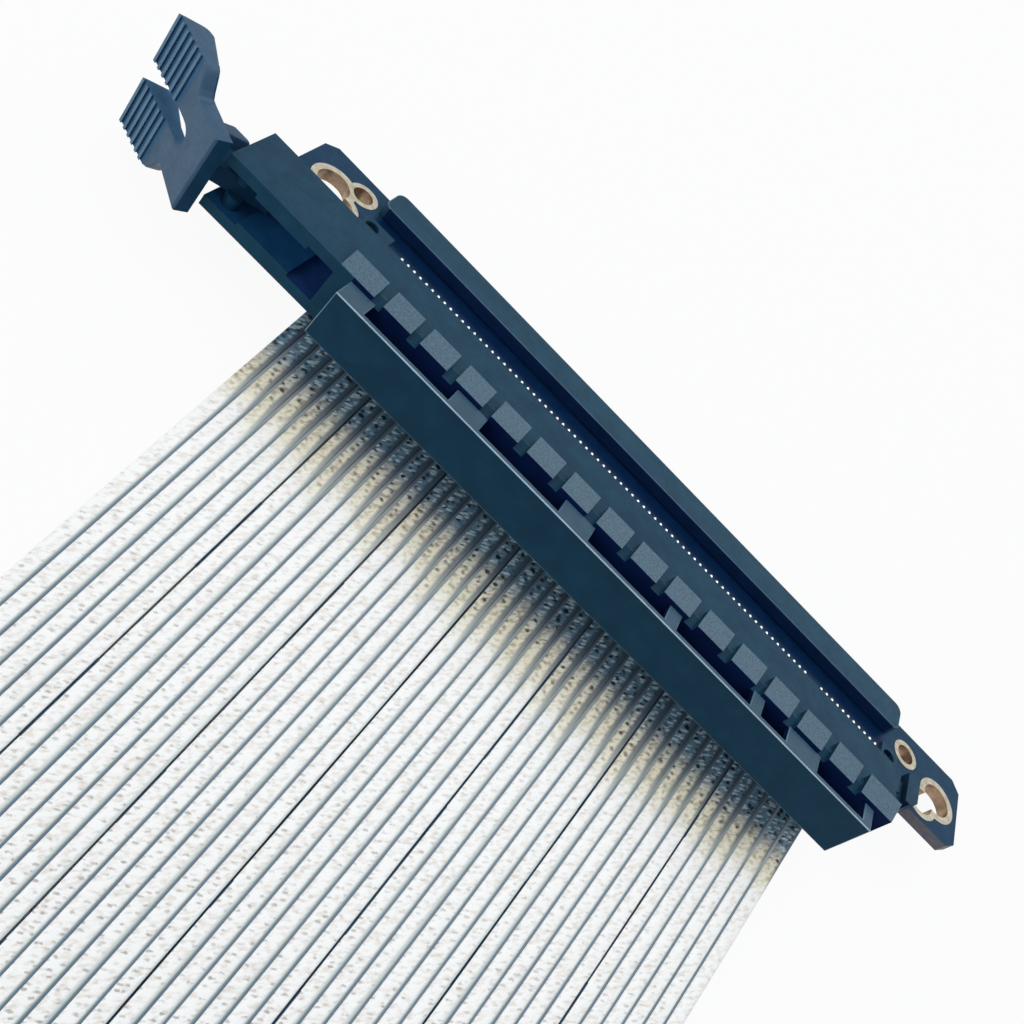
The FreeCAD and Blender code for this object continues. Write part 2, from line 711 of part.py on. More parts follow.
def plug_board():
    """Edge board with a bevelled front edge and the key notch."""
    low, high = "plug_mould_height", PLUG_BOARD_TOP
    middle = "(plug_mould_height + board_half)"
    rear = f"{PLUG_FRONT} + plug_board_seat"
    corners = [(EDGE_FRONT, f"{middle} - edge_half"), (f"{EDGE_FRONT} + edge_bevel", low),
               (rear, low), (rear, high), (f"{EDGE_FRONT} + edge_bevel", high),
               (EDGE_FRONT, f"{middle} + edge_half")]
    plate = prism("plug_plate", corners, f"{ROW_LEFT} - edge_margin", "edge_margin", "x")
    notch = block("plug_notch", (f"{KEY_MIDDLE} - notch_width / 2", f"{KEY_MIDDLE} + notch_width / 2"),
                  (f"{EDGE_FRONT} - {PAST}", f"{EDGE_FRONT} + notch_depth"),
                  (f"{low} - {PAST}", f"{high} + {PAST}"))
    return cut("plug_board", plate, [notch])


def edge_fingers(name, base):
    """Gold contact fingers on one face of the plug board."""
    width = size("finger_width")
    front = size("mould_front") - size("free_length") - size("plug_mould_depth")
    front += size("finger_inset") - size("finger_zone")
    fingers = []
    for middle in contact_places():
        corner = FreeCAD.Vector(middle - width / 2, front, base)
        fingers.append(Part.makeBox(width, size("finger_length"), size("finger_thick"), corner))
    return group(name, fingers)


def plug_overmould(name, low, high):
    """Half of the plug's grip, with the front and rear edges broken."""
    outer, inner = (low, high) if "lower" in name else (high, low)
    step = "+ grip_chamfer" if "lower" in name else "- grip_chamfer"
    corners = [(PLUG_FRONT, inner), (PLUG_FRONT, f"{outer} {step}"),
               (f"{PLUG_FRONT} + grip_chamfer", outer), (f"{PLUG_REAR} - grip_chamfer", outer),
               (PLUG_REAR, f"{outer} {step}"), (PLUG_REAR, inner)]
    grip = prism(name + "_grip", corners, MOULD_LEFT, "mould_margin", "x")
    if "lower" in name:
        tool = ribbon_pocket("plug_pocket", f"{PLUG_REAR} - ribbon_entry", f"{PLUG_REAR} + {PAST}")
    else:
        tool = block("plug_board_relief", (f"{ROW_LEFT} - edge_margin", "edge_margin"),
                     (PLUG_FRONT, f"{PLUG_FRONT} + plug_board_seat"),
                     (f"{low} - {PAST}", PLUG_BOARD_TOP))
    return cut(name, grip, [tool])


def socket_pieces():
    pieces = [slot_housing(), slot_cover(), contact_row("upper_contacts", 1),
              contact_row("lower_contacts", -1), retention_latch(), socket_board()]
    for name, places in plated_holes().items():
        pieces.append(hole_plating(name, places))
    pieces.append(upper_overmould())
    return pieces


def table_pieces():
    pieces = [lower_overmould()]
    for layer in ("upper", "lower"):
        for i in range(int(size("ribbon_count"))):
            pieces.append(ribbon(f"{layer}_ribbon_{i + 1}", i, layer))
    board_low = size("plug_mould_height")
    board_high = board_low + 2 * size("board_half")
    pieces += [plug_board(), edge_fingers("plug_upper_fingers", board_high),
               edge_fingers("plug_lower_fingers", board_low - size("finger_thick")),
               plug_overmould("plug_lower_overmould", "0", "plug_mould_height"),
               plug_overmould("plug_upper_overmould", "plug_mould_height",
                              f"{PLUG_BOARD_TOP} + plug_mould_height")]
    return pieces


def seat(socket, table):
    """Tilt the socket onto the table, then put the origin under the middle of the whole part."""
    tilted = FreeCAD.Placement(FreeCAD.Vector(0, 0, size("axis_height")),
                               FreeCAD.Rotation(FreeCAD.Vector(1, 0, 0), -size("tilt")))
    for piece in socket:
        piece.Placement = tilted
    doc.recompute()
    whole = FreeCAD.BoundBox()
    for piece in socket + table:
        whole.add(piece.Shape.optimalBoundingBox(False, False))
    centre = FreeCAD.Placement(FreeCAD.Vector(-whole.Center.x, -whole.Center.y, -whole.ZMin),
                               FreeCAD.Rotation())
    for piece in socket + table:
        piece.Placement = centre.multiply(piece.Placement)
    doc.recompute()


def check_and_write(pieces):
    for item in doc.Objects:
        if "Invalid" in item.State or "Error" in item.State:
            raise RuntimeError(f"{item.Name} did not build: {item.State}")
    os.makedirs("parts", exist_ok=True)
    for piece in pieces:
        piece.Label = piece.Name
        if piece.Shape.isNull() or not piece.Shape.isValid():
            raise RuntimeError(f"{piece.Label} has no valid shape")
        piece.Shape.exportStep(f"parts/{piece.Label}.step")


socket_end = socket_pieces()
table_end = table_pieces()
doc.recompute()
seat(socket_end, table_end)
check_and_write(socket_end + table_end)
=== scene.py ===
import json
import math
import random

import bmesh
import bpy
from mathutils import Matrix, Vector


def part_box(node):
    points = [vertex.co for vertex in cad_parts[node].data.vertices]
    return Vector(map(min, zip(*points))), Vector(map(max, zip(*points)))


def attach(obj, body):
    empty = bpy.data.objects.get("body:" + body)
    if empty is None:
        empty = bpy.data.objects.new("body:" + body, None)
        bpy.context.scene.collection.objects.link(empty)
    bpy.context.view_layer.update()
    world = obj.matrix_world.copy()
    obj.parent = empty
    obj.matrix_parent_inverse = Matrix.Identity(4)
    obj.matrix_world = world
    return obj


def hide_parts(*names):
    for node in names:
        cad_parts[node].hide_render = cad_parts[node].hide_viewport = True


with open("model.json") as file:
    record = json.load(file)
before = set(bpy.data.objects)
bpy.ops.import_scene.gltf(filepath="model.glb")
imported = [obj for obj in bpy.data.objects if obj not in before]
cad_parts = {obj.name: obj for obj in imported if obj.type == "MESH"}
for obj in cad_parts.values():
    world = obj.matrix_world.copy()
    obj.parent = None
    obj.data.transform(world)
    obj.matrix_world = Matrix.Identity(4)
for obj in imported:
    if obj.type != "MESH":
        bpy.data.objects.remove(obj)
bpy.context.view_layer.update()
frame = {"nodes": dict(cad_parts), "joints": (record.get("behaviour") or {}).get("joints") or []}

MM = 0.001
HINGE = Vector(frame["joints"][0]["pos_m"])
BOARD_NORMAL = Vector(frame["joints"][0]["axis"])
COVER_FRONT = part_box("slot_cover")[0].y
COVER_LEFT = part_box("slot_cover")[0].x

# Socket directions and places, from the latch's hinge
REARWARD = Vector((0, BOARD_NORMAL.z, -BOARD_NORMAL.y))
HINGE_DEPTH = 2.0 * MM
TOWER_REACH = 13.7 * MM
TOWER_INSIDE = 2.55 * MM
TOWER_FLOOR = 7.4 * MM
WELL_LEFT = 9.85 * MM
FRONT_DEPTH = 0.1 * MM
PAD_TIP = Vector((-16.4, 3.45)) * MM
PAD_ROOT = Vector((-10.6, 0.5)) * MM
PAD_SLOPE = (PAD_TIP - PAD_ROOT).normalized()
PAD_FACING = Vector((-PAD_SLOPE.y, 0, 0)) + REARWARD * PAD_SLOPE.x
RIB_STEP = 0.12 * MM
RIB_DEPTH = 0.9 * MM
SHANK_REACH = 2.5 * MM
SHANK_INSIDE = 3.3 * MM
PAD_SLOT = 1.35 * MM

# Camera, placed from the latch's hinge
CAMERA_FROM_HINGE = Vector((30.80, -62.89, 113.63)) * MM
CAMERA_BACK = Vector((-0.1146, -0.4550, 0.8830))
CAMERA_UP = Vector((-0.7040, 0.6644, 0.2510))
CAMERA_LENS = 40.84
SENSOR_WIDTH = 36

# Ribbons
LAYERS = ("upper", "lower")
RIBBONS = 7
PAIRS = 6
PAIR_SIDES = 20
PAIR_GAP = 0.30 * MM
PAIR_CORNER = 0.24 * MM
FILM_DEPTH = 0.16 * MM
FILM_THICKNESS = 0.30 * MM
RIBBON_STEPS = 48
WANDER = 0.012 * MM
SLIT_SPREAD = 0.02 * MM
SLIT_FACE = 0.10 * MM
# Reach of the cover's painted shadow and reflection on the ribbons
COVER_SHADE_REACH = 11 * MM
SHADE_RANGE = (0.82, 1.18)
SHADE_RIGHT = 0.58
CLOUD_TURN = -45
TICK_TURN = -27
BEADS_PER_MM = 1.3
BEADS_ACROSS = 1.7
BEADS_SHIFT = 100

# Room and table
ROOM_LOW = (0.10, 0.14, 0.19, 1)
ROOM_HIGH = (0.92, 0.96, 1.0, 1)
ROOM_STRENGTH = 0.55
TABLE_TONE = (0.70, 0.72, 0.74, 1)
TABLE_WHITE = 0.93

# Mouldings: doubles merged, flat faces joined, edges broken or rounded
MERGE = 0.0005 * MM
FLAT = math.radians(2)
SHARP = math.radians(25)
ROUNDING = 0.30 * MM
LEVEL = 0.995

# Places of the finishes in each piece's list
PLAIN, BROKEN_EDGE = range(2)
WEDGE_TOP, TOWER, SLOPE, MOUTH, CHEEK, WELL = range(2, 8)
RIM, BEHIND_PLATE, RIM_HIGHLIGHT = range(2, 5)
GROOVE, RIB_TOP, SHANK = range(2, 5)
BAR_FRONT = 2
UPRIGHT = 1
FILM, SLIT = range(1, 3)

# Ends of a pattern's scale
NONE = (0, 0, 0, 1)
FULL = (1, 1, 1, 1)

# Fade at the edge of the painted shadow of the bar on the socket board
STRIP_FADE = 1.2 * MM

# Solder on the contact tails
SOLDER_SIZE = Vector((0.56, 0.80, 0.60)) * MM
TAIL_END = 0.01 * MM

random.seed(7)


def linear(red, green, blue):
    """A colour given as display values of 0 to 255, as a shader takes it."""
    return tuple((c / 255 / 12.92) if c <= 10 else ((c / 255 + 0.055) / 1.055) ** 2.4
                 for c in (red, green, blue)) + (1,)


def set_camera():
    """The photograph's point of view, placed from the latch's hinge."""
    camera = bpy.data.cameras.new("photo_camera")
    camera.lens = CAMERA_LENS
    camera.sensor_width = SENSOR_WIDTH
    camera.clip_start = 5 * MM
    back = CAMERA_BACK.normalized()
    right = CAMERA_UP.cross(back).normalized()
    turn = Matrix((right, back.cross(right), back)).transposed().to_4x4()
    stand = bpy.data.objects.new("photo_camera", camera)
    stand.matrix_world = Matrix.Translation(HINGE + CAMERA_FROM_HINGE) @ turn
    bpy.context.scene.collection.objects.link(stand)
    bpy.context.scene.camera = stand


def soft_lamp(name, place, aim, width, power):
    lamp = bpy.data.lights.new(name, "AREA")
    lamp.size = width
    lamp.energy = power
    stand = bpy.data.objects.new(name, lamp)
    turn = (Vector(aim) - Vector(place)).to_track_quat("-Z", "Y").to_matrix().to_4x4()
    stand.matrix_world = Matrix.Translation(place) @ turn
    bpy.context.scene.collection.objects.link(stand)


def reckon(tree, operation, *values):
    """One step of arithmetic on pattern values and plain numbers."""
    step = tree.nodes.new("ShaderNodeMath")
    step.operation = operation
    for socket, value in zip(step.inputs, values):
        if isinstance(value, (int, float)):
            socket.default_value = value
        else:
            tree.links.new(value, socket)
    return step.outputs[0]


def direct_sight(tree):
    """One for rays that see the background, straight, mirrored or through something clear."""
    path = tree.nodes.new("ShaderNodeLightPath")
    total = path.outputs["Is Camera Ray"]
    for kind in ("Is Glossy Ray", "Is Transmission Ray"):
        total = reckon(tree, "MAXIMUM", total, path.outputs[kind])
    return total


def set_lights():
    """A large softbox above and behind the socket and a fill on its left, in a dim-walled room."""
    soft_lamp("rear_softbox", (0.10, 0.33, 0.52), (0, 0.04, 0), 0.56, 1.75)
    soft_lamp("left_fill", (-0.42, -0.12, 0.30), (-0.05, 0.06, 0), 0.30, 0.9)
    world = bpy.data.worlds.new("white_room")
    bpy.context.scene.world = world
    world.use_nodes = True
    tree = world.node_tree
    tree.nodes.clear()
    around = tree.nodes.new("ShaderNodeTexCoord")
    height = tree.nodes.new("ShaderNodeSeparateXYZ")
    shade = tree.nodes.new("ShaderNodeValToRGB")
    shade.color_ramp.elements[0].position = 0.05
    shade.color_ramp.elements[0].color = ROOM_LOW
    shade.color_ramp.elements[1].position = 0.80
    shade.color_ramp.elements[1].color = ROOM_HIGH
    room = tree.nodes.new("ShaderNodeBackground")
    room.inputs["Strength"].default_value = ROOM_STRENGTH
    seen = tree.nodes.new("ShaderNodeBackground")
    seen.inputs["Color"].default_value = (1, 1, 1, 1)
    mix = tree.nodes.new("ShaderNodeMixShader")
    output = tree.nodes.new("ShaderNodeOutputWorld")
    tree.links.new(around.outputs["Generated"], height.inputs[0])
    tree.links.new(height.outputs["Z"], shade.inputs[0])
    tree.links.new(shade.outputs[0], room.inputs["Color"])
    tree.links.new(direct_sight(tree), mix.inputs[0])
    tree.links.new(room.outputs[0], mix.inputs[1])
    tree.links.new(seen.outputs[0], mix.inputs[2])
    tree.links.new(mix.outputs[0], output.inputs[0])


def make_floor():
    """A plain pale table that looks white and keeps the shadow."""
    sheet = bmesh.new()
    bmesh.ops.create_grid(sheet, x_segments=1, y_segments=1, size=2)
    mesh = bpy.data.meshes.new("floor")
    sheet.to_mesh(mesh)
    sheet.free()
    floor = bpy.data.objects.new("floor", mesh)
    bpy.context.scene.collection.objects.link(floor)
    table = bpy.data.materials.new("white_table")
    table.use_nodes = True
    tree = table.node_tree
    tree.nodes.clear()
    paper = tree.nodes.new("ShaderNodeBsdfDiffuse")
    paper.inputs["Color"].default_value = TABLE_TONE
    glow = tree.nodes.new("ShaderNodeEmission")
    mix = tree.nodes.new("ShaderNodeMixShader")
    output = tree.nodes.new("ShaderNodeOutputMaterial")
    tree.links.new(reckon(tree, "MULTIPLY", direct_sight(tree), TABLE_WHITE), mix.inputs[0])
    tree.links.new(paper.outputs[0], mix.inputs[1])
    tree.links.new(glow.outputs[0], mix.inputs[2])
    tree.links.new(mix.outputs[0], output.inputs[0])
    mesh.materials.append(table)


class Finish:
    """A material under construction, with patterns that stay fixed to the piece."""

    def __init__(self, name, roughness, metallic=0.0):
        self.material = bpy.data.materials.new(name)
        self.material.use_nodes = True
        self.tree = self.material.node_tree
        self.shader = self.tree.nodes["Principled BSDF"]
        self.shader.inputs["Roughness"].default_value = roughness
        self.shader.inputs["Metallic"].default_value = metallic
        self.place = self.tree.nodes.new("ShaderNodeTexCoord").outputs["Object"]

    def attribute(self, name):
        """A value that the mesh carries on its points."""
        carried = self.tree.nodes.new("ShaderNodeAttribute")
        carried.attribute_name = name
        return carried.outputs["Fac"]

    def along(self, direction, start, end, clamp=True):
        """Nought to one between two places along a direction."""
        reach = self.tree.nodes.new("ShaderNodeVectorMath")
        reach.operation = "DOT_PRODUCT"
        reach.inputs[1].default_value = direction
        self.tree.links.new(self.place, reach.inputs[0])
        span = self.tree.nodes.new("ShaderNodeMapRange")
        span.clamp = clamp
        span.inputs["From Min"].default_value = start
        span.inputs["From Max"].default_value = end
        self.tree.links.new(reach.outputs["Value"], span.inputs["Value"])
        return span.outputs["Result"]

    def turned(self, angle):
        """Places of the piece, turned in plan by so many degrees."""
        spin = self.tree.nodes.new("ShaderNodeVectorRotate")
        spin.rotation_type = "Z_AXIS"
        spin.inputs["Angle"].default_value = math.radians(angle)
        self.tree.links.new(self.place, spin.inputs["Vector"])
        return spin.outputs["Vector"]

    def spread(self, place, per_mm):
        """Places counted in features, so many to the millimetre on each axis."""
        count = self.tree.nodes.new("ShaderNodeMapping")
        count.inputs["Scale"].default_value = [axis / MM for axis in per_mm]
        self.tree.links.new(place, count.inputs["Vector"])
        return count.outputs["Vector"]

    def noise(self, per_mm, detail=3.0, turn=0):
        """Cloudy pattern with so many features per millimetre on each axis."""
        cloud = self.tree.nodes.new("ShaderNodeTexNoise")
        cloud.inputs["Scale"].default_value = 1
        cloud.inputs["Detail"].default_value = detail
        place = self.turned(turn) if turn else self.place
        self.tree.links.new(self.spread(place, per_mm), cloud.inputs["Vector"])
        return cloud.outputs["Fac"]

    def marks(self, spots, randomness, size):
        """Marks of a size and of uneven strength, one to each unit square of the given places."""
        cells = self.tree.nodes.new("ShaderNodeTexVoronoi")
        cells.voronoi_dimensions = "2D"
        cells.inputs["Scale"].default_value = 1
        cells.inputs["Randomness"].default_value = randomness
        self.tree.links.new(spots, cells.inputs["Vector"])
        edge = self.uneven(cells.outputs["Distance"], self.noise((2.2, 2.2, 2.2), detail=1.0))
        mark = self.ramp(edge, [(size * 0.25, FULL), (size, NONE)])
        return reckon(self.tree, "MULTIPLY", mark, cells.outputs["Color"])

    def ticks(self, per_mm, size):
        """Short slanted marks, so many to the millimetre along and across their slant."""
        return self.marks(self.spread(self.turned(TICK_TURN), per_mm), 1.0, size)

    def beads(self, across, shade):
        """Marks that follow one another along each pair."""
        along = self.tree.nodes.new("ShaderNodeSeparateXYZ")
        self.tree.links.new(self.place, along.inputs[0])
        string = self.tree.nodes.new("ShaderNodeCombineXYZ")
        start = reckon(self.tree, "MULTIPLY", shade, BEADS_SHIFT)
        count = reckon(self.tree, "MULTIPLY_ADD", along.outputs["Y"], BEADS_PER_MM / MM, start)
        self.tree.links.new(reckon(self.tree, "MULTIPLY", across, BEADS_ACROSS), string.inputs["X"])
        self.tree.links.new(count, string.inputs["Y"])
        return self.marks(string.outputs["Vector"], 0.7, 0.42)

    def ramp(self, value, stops):
        """Colours along a pattern's value."""
        band = self.tree.nodes.new("ShaderNodeValToRGB")
        points = band.color_ramp.elements
        while len(points) < len(stops):
            points.new(0.5)
        for point, (position, colour) in zip(points, stops):
            point.position = position
            point.color = colour
        self.tree.links.new(value, band.inputs[0])
        return band.outputs["Color"]

    def blended(self, under, over, share):
        """One colour laid over another by a pattern."""
        mix = self.tree.nodes.new("ShaderNodeMix")
        mix.data_type = "RGBA"
        self.tree.links.new(share, mix.inputs["Factor"])
        self.tree.links.new(under, mix.inputs["A"])
        self.tree.links.new(over, mix.inputs["B"])
        return mix.outputs["Result"]

    def uneven(self, value, cloud):
        """A pattern's value, raised and lowered by a cloudy one."""
        return reckon(self.tree, "ADD", value, reckon(self.tree, "MULTIPLY_ADD", cloud, 0.6, -0.3))

    def colour(self, value, stops):
        self.tree.links.new(self.ramp(value, stops), self.shader.inputs["Base Color"])

    def sheen_range(self, value, low, high):
        """Roughness that wanders between two values."""
        span = self.tree.nodes.new("ShaderNodeMapRange")
        span.inputs["From Min"].default_value = 0.3
        span.inputs["From Max"].default_value = 0.7
        span.inputs["To Min"].default_value = low
        span.inputs["To Max"].default_value = high
        self.tree.links.new(value, span.inputs["Value"])
        self.tree.links.new(span.outputs["Result"], self.shader.inputs["Roughness"])

    def bump(self, value, strength, depth):
        relief = self.tree.nodes.new("ShaderNodeBump")
        relief.inputs["Strength"].default_value = strength
        relief.inputs["Distance"].default_value = depth
        self.tree.links.new(value, relief.inputs["Height"])
        self.tree.links.new(relief.outputs["Normal"], self.shader.inputs["Normal"])


def moulded_plastic(name, dark, light, roughness, grain, gloss=0.3):
    """Glass-filled plastic: faint mottling and a fine spark-eroded grain."""
    finish = Finish(name, roughness)
    finish.shader.inputs["Specular IOR Level"].default_value = gloss
    finish.colour(finish.noise((0.35, 0.35, 0.35)), [(0.35, linear(*dark)), (0.70, linear(*light))])
    finish.sheen_range(finish.noise((1.5, 1.5, 1.5)), roughness - 0.06, roughness + 0.08)
    finish.bump(finish.noise((7, 7, 7)), grain, 0.05 * MM)
    return finish.material


def grained_plastic(name, dark, light, roughness):
    """Spark-eroded face of a moulding: pale flecks on the same plastic, lighter overall as a
    painted sheen.
    """
    finish = Finish(name, roughness)
    finish.shader.inputs["Specular IOR Level"].default_value = 0.45
    flecks = finish.noise((5, 5, 5), detail=2.0)
    finish.colour(flecks, [(0.34, linear(*dark)), (0.66, linear(*light))])
    finish.sheen_range(flecks, roughness - 0.08, roughness + 0.08)
    finish.bump(flecks, 0.30, 0.04 * MM)
    return finish.material


def tower_plastic(name, mouth_tone, middle_tone, floor_tone):
    """Inside of the tower: the moulding's plastic, with a painted fill light that grows bluer and
    paler further in.
    """
    finish = Finish(name, 0.60)
    finish.shader.inputs["Specular IOR Level"].default_value = 0.05
    mouth = HINGE.dot(REARWARD) - HINGE_DEPTH
    inward = finish.along(REARWARD, mouth, mouth + TOWER_FLOOR)
    finish.colour(finish.uneven(inward, finish.noise((0.35, 0.35, 0.35))),
                  [(0.0, linear(*mouth_tone)), (0.5, linear(*middle_tone)),
                   (1.0, linear(*floor_tone))])
    finish.bump(finish.noise((7, 7, 7)), 0.10, 0.05 * MM)
    return finish.material


def solder_mask(name, dark, light):
    """Board lacquer: nearly even, with a slow swirl and a soft gloss."""
    finish = Finish(name, 0.32)
    finish.shader.inputs["Specular IOR Level"].default_value = 0.05
    finish.colour(finish.noise((0.6, 0.6, 0.6)), [(0.35, linear(*dark)), (0.70, linear(*light))])
    finish.sheen_range(finish.noise((2, 2, 2)), 0.28, 0.40)
    finish.bump(finish.noise((3, 3, 3)), 0.10, 0.03 * MM)
    return finish.material


def socket_lacquer_and_shadow():
    """The socket's board lacquer, darkened by a painted shadow of the bar in the strip between the
    contact tails and the bar.
    """
    finish = Finish("socket_lacquer_and_shadow", 0.32)
    finish.shader.inputs["Specular IOR Level"].default_value = 0.05
    tails = max(vert.co.dot(REARWARD) for vert in frame["nodes"]["upper_contacts"].data.vertices)
    bar = frame["nodes"]["upper_overmould"].data.vertices
    left, right = min(vert.co.x for vert in bar), max(vert.co.x for vert in bar)
    row = Vector((1, 0, 0))
    strip = finish.along(REARWARD, tails, tails + STRIP_FADE)
    for start, end in ((left, left + STRIP_FADE), (right, right - STRIP_FADE)):
        strip = reckon(finish.tree, "MULTIPLY", strip, finish.along(row, start, end))
    swirl = finish.noise((0.6, 0.6, 0.6))
    lacquer = finish.ramp(swirl, [(0.35, linear(27, 60, 86)), (0.70, linear(33, 68, 95))])
    # Painted shadow that the bar casts on the strip
    deep = finish.ramp(swirl, [(0.35, linear(5, 31, 62)), (0.70, linear(8, 36, 70))])
    finish.tree.links.new(finish.blended(lacquer, deep, strip), finish.shader.inputs["Base Color"])
    finish.sheen_range(finish.noise((2, 2, 2)), 0.28, 0.40)
    finish.bump(finish.noise((3, 3, 3)), 0.10, 0.03 * MM)
    return finish.material


def board_core():
    """Sawn edge of the board: greyish glass cloth in thin layers."""
    finish = Finish("sawn_board_edge", 0.6)
    finish.colour(finish.noise((1.6, 1.6, 3)),
                  [(0.3, linear(84, 86, 98)), (0.7, linear(112, 106, 113))])
    finish.bump(finish.noise((4, 4, 4)), 0.2, 0.03 * MM)
    return finish.material


def plated_metal(name, dark, light, roughness):
    """Thin plating with a slight tarnish."""
    finish = Finish(name, roughness, metallic=1.0)
    finish.colour(finish.noise((1.2, 1.2, 1.2)), [(0.30, linear(*dark)), (0.70, linear(*light))])
    finish.sheen_range(finish.noise((3, 3, 3)), roughness - 0.08, roughness + 0.10)
    finish.bump(finish.noise((6, 6, 6)), 0.12, 0.03 * MM)
    return finish.material


def cover_distance(finish):
    """Distance from the cover along the ribbons, one at the outer end of the cover's painted shade.
    """
    return finish.along(Vector((0, 1, 0)), COVER_FRONT, COVER_FRONT - COVER_SHADE_REACH, clamp=False)


def cover_shade(finish, reach):
    """Nought where the ribbons lie in the open, rising to one at the cover."""
    share = reckon(finish.tree, "DIVIDE", cover_distance(finish), reach)
    return reckon(finish.tree, "MAXIMUM", reckon(finish.tree, "SUBTRACT", 1, share), 0)


def foil_wrap():
    """White shield wrap with fine ticks; towards the cover a painted shadow and reflection of the
    cover turns it creamy and beaded, then slate.
    """
    finish = Finish("ticked_wrap_and_painted_cover_shade", 0.36)
    across, reach = finish.attribute("across"), finish.attribute("shade")
    near = cover_shade(finish, reach)
    # Painted shadow and reflection of the cover: white in the open, then cream, then slate at the
    # cover; the cloud and tick tones darken with it
    wrap = finish.ramp(near, [(0.0, linear(255, 255, 253)), (0.12, linear(252, 251, 243)),
                              (0.30, linear(242, 238, 218)), (0.52, linear(228, 222, 196)),
                              (0.68, linear(220, 214, 190)), (0.84, linear(182, 182, 172)),
                              (1.0, linear(98, 132, 155))])
    cloud_tone = finish.ramp(near, [(0.0, linear(234, 228, 220)), (0.30, linear(212, 204, 180)),
                                    (0.58, linear(160, 152, 126)), (0.76, linear(112, 110, 102)),
                                    (1.0, linear(62, 86, 104))])
    tick_tone = finish.ramp(near, [(0.0, linear(142, 134, 127)), (0.35, linear(110, 102, 82)),
                                   (0.60, linear(46, 44, 40)), (1.0, linear(16, 30, 44))])
    # Painted glints in the cover's shade
    glint_tone = finish.ramp(near, [(0.5, linear(248, 244, 228)), (1.0, linear(176, 196, 204))])
    # Painted shade on each pair's right shoulder, darker towards the cover
    side_shade_tone = finish.ramp(near, [(0.0, linear(206, 215, 212)), (0.30, linear(166, 174, 170)),
                                   (0.62, linear(112, 118, 119)), (1.0, linear(72, 90, 105))])
    clouds = finish.noise((1.1, 2.4, 0.6), detail=2.0, turn=CLOUD_TURN)
    cloudy = finish.ramp(clouds, [(0.28, FULL), (0.52, NONE)])
    plain = finish.ramp(reckon(finish.tree, "MULTIPLY", cover_distance(finish), 0.1),
                        [(0.10, (0.3, 0.3, 0.3, 1)), (0.60, FULL)])
    ticks = reckon(finish.tree, "MULTIPLY", finish.ticks((0.62, 1.55, 1), 0.28), plain)
    # Dark beads painted only in the cover's shade, as part of its painted reflection
    beads = reckon(finish.tree, "MULTIPLY", finish.beads(across, reach),
                   reckon(finish.tree, "MULTIPLY", near, 2.0))
    # Painted glints, only in the cover's shade
    glints = reckon(finish.tree, "MULTIPLY", finish.ticks((0.7, 2.2, 1), 0.40),
                    reckon(finish.tree, "MULTIPLY_ADD", near, 4.0, -1.8))
    # Width of the painted shoulder shade, wider towards the cover and the pair's right side
    widened = finish.ramp(near, [(0.0, NONE), (0.5, FULL)])
    rightward = reckon(finish.tree, "MULTIPLY_ADD", reach, 0.25,
                       reckon(finish.tree, "MULTIPLY", across, 0.5))
    side = finish.ramp(reckon(finish.tree, "MULTIPLY_ADD", widened, 0.12, rightward),
                       [(0.63, NONE), (0.73, FULL)])
    wrap = finish.blended(wrap, cloud_tone, cloudy)
    wrap = finish.blended(wrap, tick_tone, reckon(finish.tree, "MAXIMUM", ticks, beads))
    wrap = finish.blended(wrap, glint_tone, glints)
    wrap = finish.blended(wrap, side_shade_tone, side)
    finish.tree.links.new(wrap, finish.shader.inputs["Base Color"])
    finish.sheen_range(finish.noise((0.9, 1.6, 0.9)), 0.30, 0.44)
    finish.bump(reckon(finish.tree, "SUBTRACT", clouds, ticks), 0.60, 0.08 * MM)
    return finish.material


def clear_film():
    """Film between two pairs: a slate groove with painted shade from its pale left side to its dark
    right side, and painted cover shade towards the cover.
    """
    finish = Finish("groove_film", 0.30)
    # Painted shade across the groove, pale on its left side and dark on its right
    strip = finish.ramp(finish.attribute("across"),
                        [(0.20, linear(166, 180, 182)), (0.36, linear(110, 130, 140)),
                         (0.62, linear(82, 102, 120)), (0.80, linear(68, 88, 110))])
    # Painted cover shade towards the cover, greyer where it reaches far and paler where it reaches
    # less
    reach = finish.attribute("shade")
    near = cover_shade(finish, reach)
    grey = finish.ramp(near, [(0.3, linear(150, 162, 164)), (0.7, linear(122, 134, 140)),
                              (1.0, linear(100, 116, 130))])
    pale = finish.ramp(near, [(0.3, linear(160, 172, 176)), (1.0, linear(148, 164, 176))])
    shaded = finish.blended(grey, pale, finish.ramp(reach, [(0.60, FULL), (0.85, NONE)]))
    share = finish.ramp(near, [(0.20, NONE), (0.60, FULL)])
    finish.tree.links.new(finish.blended(strip, shaded, share), finish.shader.inputs["Base Color"])
    finish.bump(finish.noise((1, 0.5, 1)), 0.10, 0.03 * MM)
    return finish.material


def slit_shadow():
    """Painted shadow on a ribbon's edge faces, in the slit between it and its neighbour."""
    finish = Finish("slit_painted_shadow", 0.6)
    finish.colour(finish.noise((1, 0.4, 1)),
                  [(0.3, linear(50, 74, 94)), (0.7, linear(68, 94, 114))])
    return finish.material


def new_piece(name, shape, finishes, body, replaced=()):
    """Hands a finished bmesh over as a piece that rides on a body."""
    mesh = bpy.data.meshes.new(name)
    shape.to_mesh(mesh)
    shape.free()
    for finish in finishes:
        mesh.materials.append(finish)
    piece = bpy.data.objects.new(name, mesh)
    bpy.context.scene.collection.objects.link(piece)
    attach(piece, body)
    if replaced:
        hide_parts(*replaced)
    return piece


